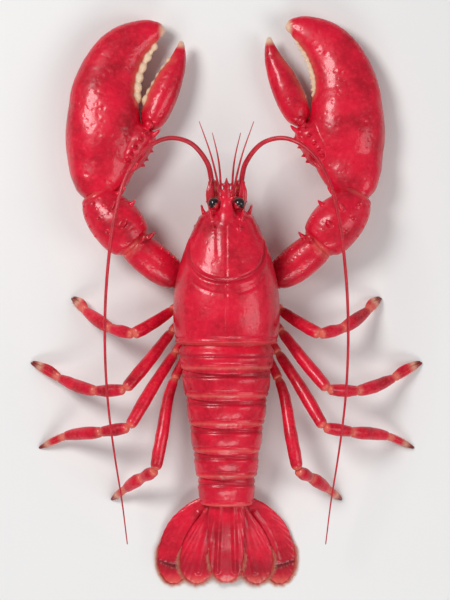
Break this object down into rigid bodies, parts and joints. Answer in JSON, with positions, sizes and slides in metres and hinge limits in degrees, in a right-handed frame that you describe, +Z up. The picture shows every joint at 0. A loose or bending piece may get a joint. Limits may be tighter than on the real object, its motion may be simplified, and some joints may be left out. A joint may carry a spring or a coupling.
{
  "type": "still life-size american lobster",
  "caption": "Life-size still model of an adult American lobster, standing with both claws laid forward and the tail fan spread.",
  "frame": {"origin": "centre of the part's box, on the floor that it stands on", "axes": "+Y towards the head and claws, along the body; +X to the animal's right, which is the cutter claw; +Z up"},
  "size_m": [0.394, 0.5698, 0.1005],
  "materials": {
    "shell": "glossy crimson shell with fine darker mottling and pits",
    "limb": "glossy crimson limb shell, paler at the joints",
    "belly": "satin pale coral underside",
    "feeler": "satin ringed crimson feelers",
    "eye": "wet black eye"
  },
  "bodies": {
    "root": {"carapace": "shell", "cutter_hand_right": "shell", "cutter_dactyl_right": "shell", "crusher_hand_left": "shell", "crusher_dactyl_left": "shell", "telson": "shell", "abdomen_1": "shell", "abdomen_2": "shell", "abdomen_3": "shell", "abdomen_4": "shell", "abdomen_5": "shell", "abdomen_6": "shell", "claw_merus_right": "shell", "claw_merus_left": "shell", "claw_carpus_right": "shell", "claw_carpus_left": "shell", "inner_uropod_right": "shell", "inner_uropod_left": "shell", "outer_uropod_right": "shell", "outer_uropod_left": "shell", "eyestalk_right": "limb", "eyestalk_left": "limb", "antenna_base_right": "limb", "antenna_base_left": "limb", "maxilliped_right": "limb", "maxilliped_left": "limb", "claw_ischium_right": "limb", "claw_ischium_left": "limb", "leg_1_upper_right": "limb", "leg_1_upper_left": "limb", "leg_1_lower_right": "limb", "leg_1_lower_left": "limb", "leg_2_upper_right": "limb", "leg_2_upper_left": "limb", "leg_2_lower_right": "limb", "leg_2_lower_left": "limb", "leg_3_upper_right": "limb", "leg_3_upper_left": "limb", "leg_3_lower_right": "limb", "leg_3_lower_left": "limb", "leg_4_upper_right": "limb", "leg_4_upper_left": "limb", "leg_4_lower_right": "limb", "leg_4_lower_left": "limb", "sternum": "belly", "swimmeret_2_right": "belly", "swimmeret_2_left": "belly", "swimmeret_3_right": "belly", "swimmeret_3_left": "belly", "swimmeret_4_right": "belly", "swimmeret_4_left": "belly", "swimmeret_5_right": "belly", "swimmeret_5_left": "belly", "antennule_right": "feeler", "antennule_left": "feeler", "antenna_right": "feeler", "antenna_left": "feeler", "eye_right": "eye", "eye_left": "eye"}
  },
  "joints": []
}
